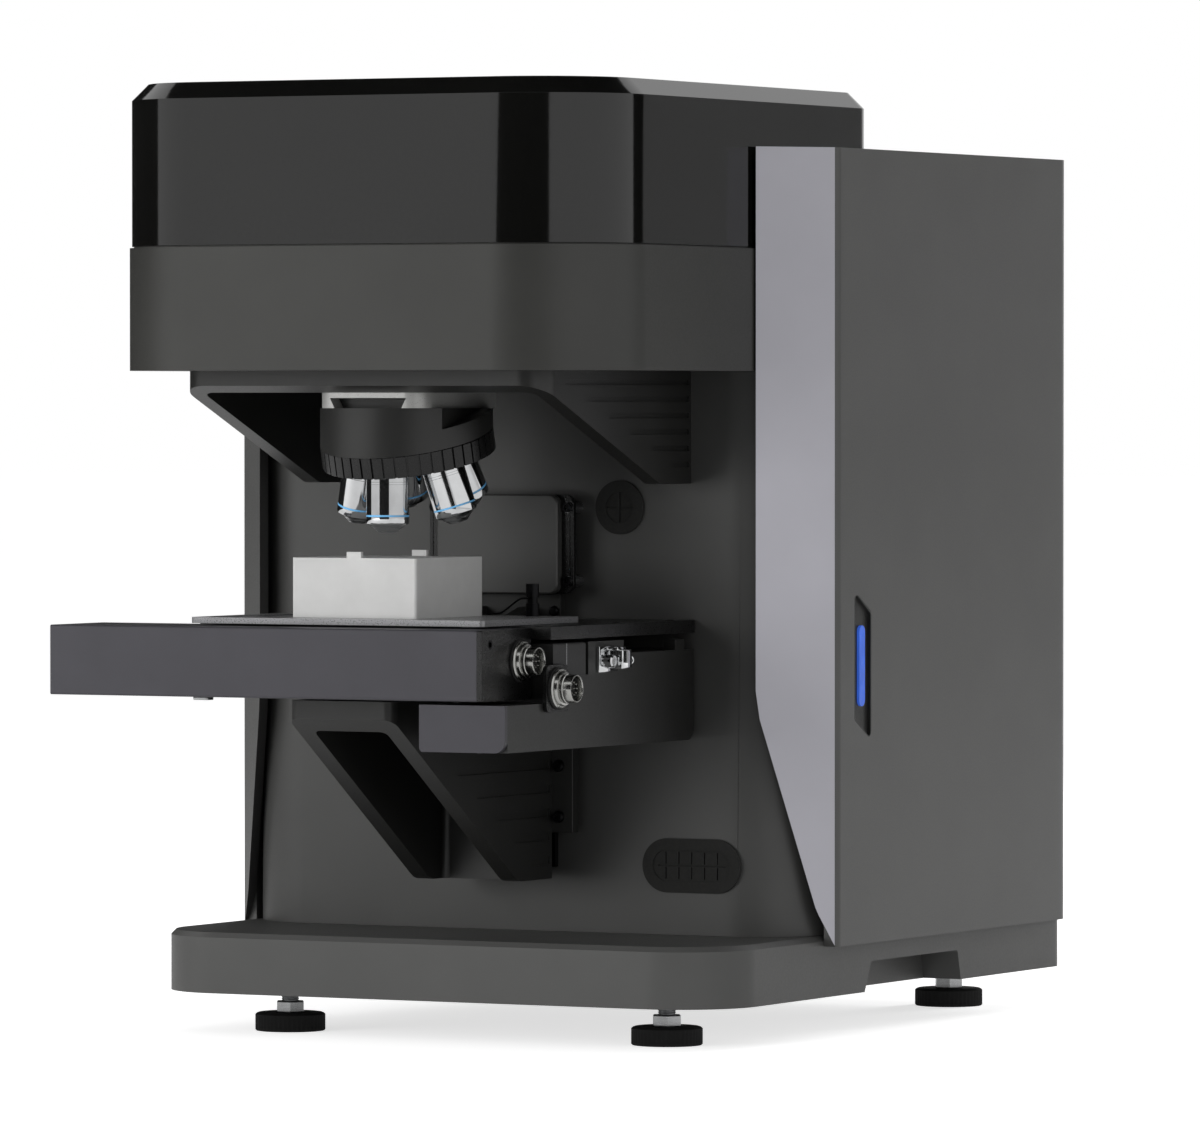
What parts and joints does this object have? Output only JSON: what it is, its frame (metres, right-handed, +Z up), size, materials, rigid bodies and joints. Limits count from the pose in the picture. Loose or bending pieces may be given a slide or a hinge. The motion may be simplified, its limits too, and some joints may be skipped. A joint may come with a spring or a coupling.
{
  "type": "raman microscope",
  "caption": "Upright microscope with a closed optics head, a tilted revolving nosepiece, a motorised stage on a slanted bracket and a wide column on a base with levelling feet.",
  "frame": {"origin": "centre of the bounding box, at the floor under the foot pads", "axes": "+X to the user's right, +Y to the back, +Z up; the stage and head face -Y"},
  "size_m": [0.482, 0.724, 0.669],
  "materials": {
    "body_paint": "satin fine texture",
    "panel_paint": "satin",
    "band_paint": "satin",
    "cover_gloss": "gloss",
    "casting_paint": "satin",
    "stage_paint": "satin",
    "drive_paint": "satin",
    "black_alloy": "black anodised",
    "plate_alloy": "anodised satin",
    "chrome": "polished",
    "steel": "plain",
    "dark_steel": "blackened",
    "rubber": "matte",
    "black_plastic": "matte",
    "clear_grey": "frosted",
    "light_blue": "lit lens",
    "lens_glass": "coated"
  },
  "bodies": {
    "frame": {"base_casting": "casting_paint", "column_housing": "body_paint", "side_panel_right": "panel_paint", "side_panel_left": "panel_paint", "status_light_bezel": "black_plastic", "status_light_bar": "light_blue", "cable_grommet_round": "black_plastic", "cable_grommet_slot": "black_plastic", "rear_cover": "panel_paint", "mains_inlet": "black_plastic", "head_body": "band_paint", "head_cover": "cover_gloss", "laser_module": "black_alloy", "spectrometer_module": "black_alloy", "beam_tube": "black_alloy", "canopy": "band_paint", "port_flange": "black_alloy", "port_cover": "black_alloy", "flange_posts": "steel", "guide_rails": "steel", "nosepiece_mount": "black_alloy", "nosepiece_body": "band_paint", "nosepiece_shaft": "steel"},
    "turret": {"turret_ring": "black_alloy", "objective_1": "chrome", "objective_2": "chrome", "objective_3": "chrome", "objective_4": "chrome", "objective_5": "chrome", "objective_lenses": "lens_glass"},
    "z_stage": {"stage_knee": "stage_paint", "stage_carriage": "stage_paint", "guide_blocks": "steel", "carriage_bolts": "dark_steel", "stage_bed": "black_alloy", "y_runners": "steel", "y_drive_box": "stage_paint", "y_drive_front": "drive_paint", "drive_cap": "black_plastic", "port_plate": "black_alloy", "lower_connector": "chrome", "side_connector": "chrome"},
    "y_stage": {"table_plate": "plate_alloy", "table_blocks": "steel", "x_drive_cover": "drive_paint", "x_drive_end": "drive_paint", "end_screw": "steel", "upper_connector": "chrome"},
    "x_stage": {"sample_plate": "plate_alloy", "clip_post": "steel", "sample_box": "clear_grey", "sample_lid": "clear_grey"},
    "foot_1": {"foot_pad_1": "rubber", "foot_stud_1": "steel"},
    "foot_2": {"foot_pad_2": "rubber", "foot_stud_2": "steel"},
    "foot_3": {"foot_pad_3": "rubber", "foot_stud_3": "steel"},
    "foot_4": {"foot_pad_4": "rubber", "foot_stud_4": "steel"}
  },
  "joints": [
    {"name": "z_slide", "type": "slide", "parent": "frame", "child": "z_stage", "axis": [0, 0, 1], "range_m": [-0.03, 0.008]},
    {"name": "y_slide", "type": "slide", "parent": "z_stage", "child": "y_stage", "axis": [0, 1, 0], "range_m": [-0.075, 0]},
    {"name": "x_slide", "type": "slide", "parent": "y_stage", "child": "x_stage", "axis": [1, 0, 0], "range_m": [-0.05, 0.05]},
    {"name": "turret_spin", "type": "hinge", "parent": "frame", "child": "turret", "pos_m": [0, -0.257, 0.528], "axis": [0, -0.2504, 0.9681], "continuous": true},
    {"name": "foot_1_turn", "type": "hinge", "parent": "frame", "child": "foot_1", "pos_m": [-0.1514, -0.1297, 0.013], "axis": [0, 0, 1], "continuous": true},
    {"name": "foot_2_turn", "type": "hinge", "parent": "frame", "child": "foot_2", "pos_m": [0.1514, -0.1297, 0.013], "axis": [0, 0, 1], "continuous": true},
    {"name": "foot_3_turn", "type": "hinge", "parent": "frame", "child": "foot_3", "pos_m": [-0.1514, 0.3228, 0.013], "axis": [0, 0, 1], "continuous": true},
    {"name": "foot_4_turn", "type": "hinge", "parent": "frame", "child": "foot_4", "pos_m": [0.1514, 0.3228, 0.013], "axis": [0, 0, 1], "continuous": true}
  ]
}
